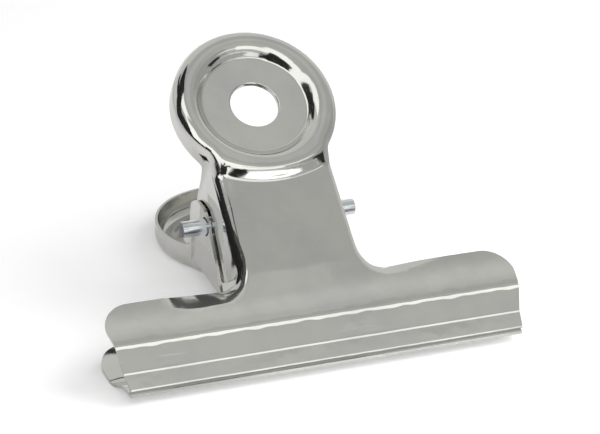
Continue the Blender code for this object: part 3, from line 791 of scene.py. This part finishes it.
# Studio: a white surround, two broad soft lamps, and a pale tent with the cards that the metal
# mirrors. Far cards are bent to a dome about the clip, and small flags stand or hang close to it.
SURROUND_LEVEL = 0.30
SURROUND_SHOWN = 1.0
LAMPS = (("right_lamp", (0.42, -0.10, 0.36), 0.45, 2.6), ("front_lamp", (-0.02, -0.42, 0.40), 0.60, 2.2))
world = bpy.data.worlds.new("studio")
world.use_nodes = True
scene.world = world
surround = world.node_tree.nodes["Background"]
surround.inputs["Color"].default_value = (1.0, 1.0, 1.0, 1.0)
world_rays = add_node(world.node_tree, "ShaderNodeLightPath").outputs
world_seen = worked_out(world.node_tree, "ADD", world_rays["Is Camera Ray"], world_rays["Is Glossy Ray"],
                        clamp=True)
world_shown = worked_out(world.node_tree, "ADD", world_seen, world_rays["Is Transmission Ray"], clamp=True)
world_level = add_node(world.node_tree, "ShaderNodeMapRange", Value=world_shown, i3=SURROUND_LEVEL,
                       i4=SURROUND_SHOWN)
world.node_tree.links.new(world_level.outputs[0], surround.inputs["Strength"])

for name, place, size, energy in LAMPS:
    lamp_data = bpy.data.lights.new(name, "AREA")
    lamp_data.energy = energy
    lamp_data.size = size
    lamp = bpy.data.objects.new(name, lamp_data)
    lamp.location = place
    lamp.rotation_euler = (-lamp.location).to_track_quat("-Z", "Y").to_euler()
    lamp.visible_glossy = False
    scene.collection.objects.link(lamp)

TENT_RADIUS = 1.2
TENT_LEVEL = 0.545
TENT_BACK = (0.10 * TENT_RADIUS, 0.45 * TENT_RADIUS)
TENT_BACK_LIFT = 0.22
TENT_FRONT = (-0.3 * TENT_RADIUS, -0.8 * TENT_RADIUS)
TENT_FRONT_LIFT = 0.09
DOME_COLUMNS = 24
DOME_ROWS = 12
CARD_TINT = (0.98, 1.0, 0.96, 1.0)
WHITE = 1.45
BLACK = 0.02


def mirrored_only(name, grid, strength):
    """A staged surface through a grid of points, that glows evenly and is seen in the metal alone."""
    mesh = bmesh.new()
    add_strip(mesh, grid)
    data = bpy.data.meshes.new(name)
    mesh.to_mesh(data)
    mesh.free()
    shade = bpy.data.materials.new(name)
    shade.use_nodes = True
    tree = shade.node_tree
    tree.nodes.remove(tree.nodes["Principled BSDF"])
    glow = add_node(tree, "ShaderNodeEmission", Color=CARD_TINT, Strength=strength)
    tree.links.new(glow.outputs[0], tree.nodes["Material Output"].inputs["Surface"])
    data.materials.append(shade)
    surface = bpy.data.objects.new(name, data)
    scene.collection.objects.link(surface)
    surface.visible_camera = False
    surface.visible_diffuse = False
    surface.visible_shadow = False
    return tree


def dome(turns, lifts, distance):
    """Points of a dome about the clip, between two compass turns off +Y and two heights in degrees."""
    columns = np.radians(np.linspace(*turns, DOME_COLUMNS + 1))
    rows = np.radians(np.linspace(*lifts, DOME_ROWS + 1))
    turn, lift = np.meshgrid(columns, rows, indexing="ij")
    points = np.stack([np.sin(turn) * np.cos(lift), np.cos(turn) * np.cos(lift), np.sin(lift)], axis=2)
    return points * distance


def level(across, along, height):
    """Corners of a level sheet over the table."""
    return [[(x, y, height) for y in along] for x in across]


def upright(start, end, heights):
    """Corners of an upright sheet between two places on the table."""
    return [[(x, y, height) for height in heights] for x, y in (start, end)]


tent_tree = mirrored_only("tent", dome((0, 360), (0, 90), TENT_RADIUS), TENT_LEVEL)
tent_place = add_node(tent_tree, "ShaderNodeTexCoord").outputs["Object"]
tent_along = add_node(tent_tree, "ShaderNodeSeparateXYZ", Vector=tent_place).outputs["Y"]
tent_back = add_node(tent_tree, "ShaderNodeMapRange", {"interpolation_type": "SMOOTHSTEP"},
                     Value=tent_along, i1=TENT_BACK[0], i2=TENT_BACK[1], i3=TENT_LEVEL,
                     i4=TENT_LEVEL + TENT_BACK_LIFT)
tent_front = add_node(tent_tree, "ShaderNodeMapRange", Value=tent_along, i1=TENT_FRONT[0],
                      i2=TENT_FRONT[1], i3=0.0, i4=TENT_FRONT_LIFT)
tent_level = worked_out(tent_tree, "ADD", tent_back.outputs[0], tent_front.outputs[0])
tent_tree.links.new(tent_level, tent_tree.nodes["Emission"].inputs["Strength"])

# Far boxes and screens, which the bends and the bead mirror as bands.
mirrored_only("left_box", dome((185, 298), (9.5, 37), 1.16), WHITE)
mirrored_only("front_box", dome((155, 204), (8, 25), 1.14), WHITE)
mirrored_only("back_box", dome((-20, 30), (0, 12), 1.16), 1.2)
mirrored_only("right_screen", dome((81, 142), (0, 30), 1.16), 0.47)
mirrored_only("front_screen", dome((198, 236.5), (0, 16), 1.12), BLACK)
mirrored_only("low_screen", dome((236.5, 259), (0, 10), 1.12), BLACK)
mirrored_only("left_screen", dome((259, 302), (0, 36.5), 1.12), BLACK)
mirrored_only("high_screen", dome((276, 326), (31, 43.5), 1.11), BLACK)
mirrored_only("left_strip", dome((236, 258.5), (10, 55), 1.10), WHITE)

# Sheets and flags on or over the table, each for one face or bend.
mirrored_only("disc_bounce", level((-0.065, -0.0195), (-0.0095, 0.0356), 0.0985), WHITE)
mirrored_only("disc_flag", level((-0.0294, -0.0127), (0.0094, 0.0197), 0.049), BLACK)
mirrored_only("jaw_bounce", level((-0.055, 0.075), (-0.0755, -0.052), 0.0627), WHITE)
mirrored_only("right_sheet", level((0.052, 0.6), (-0.32, 0.2), 0.0006), 0.52)
mirrored_only("front_sheet", level((-0.0122, 0.045), (-0.17, -0.042), 0.0005), 1.9)
mirrored_only("disc_fill", level((0.004, 0.046), (-0.0225, 0.010), 0.12), 0.635)
mirrored_only("neck_flag", upright((-0.0241, -0.0165), (-0.0178, 0.0061), (0.0, 0.0213)), BLACK)
mirrored_only("corner_sheet", level((-0.080, -0.0135), (-0.125, -0.070), 0.0007), BLACK)
mirrored_only("corner_flag", upright((-0.080, -0.125), (-0.0165, -0.125), (0.0, 0.036)), BLACK)
# Painted reflection: a glowing square about the pin's axis at the left flange. Only the metal sees it, and
# the pin's stub mirrors it. It is no part of the clip.
mirrored_only("pin_stub_glow", upright((-0.01245, -0.0045), (-0.01245, 0.0045), (0.0095, 0.0185)), 0.60)
saddle_line = ((-0.0205, (-0.0152, -0.0128)), (-0.0148, (-0.0111, -0.0091)), (-0.0124, (-0.0095, -0.0062)))
mirrored_only("saddle_flag", [[(x, y, 0.030) for y in along] for x, along in saddle_line], 0.10)
mirrored_only("fillet_flag", level((-0.0168, -0.0125), (-0.0165, -0.0105), 0.020), 0.10)
# Painted light: a glowing strip inside the gap between the two lips, seen only in the metal. The rear lip's
# inner face mirrors light here, where the gap would be dark.
mirrored_only("lip_gap_glow", upright((-0.0375, -0.0327), (0.0375, -0.0327), (0.00215, 0.0027)), 0.45)
mirrored_only("lip_bounce", level((-0.060, 0.10), (-0.057, -0.0508), 0.10), 0.68)
mirrored_only("side_flag", upright((0.30, -0.254), (0.30, -0.103), (0.016, 0.076)), BLACK)

# Camera: a long lens, from the left and above, with a slight roll, as the clip is photographed.
camera_data = bpy.data.cameras.new("camera")
camera_data.lens = 120.0
camera_data.sensor_width = 36.0
camera = bpy.data.objects.new("camera", camera_data)
camera.location = (-0.11757, -0.30931, 0.17808)
camera.rotation_euler = Euler([math.radians(angle) for angle in (63.675, -1.918, -20.867)])
scene.collection.objects.link(camera)
scene.camera = camera
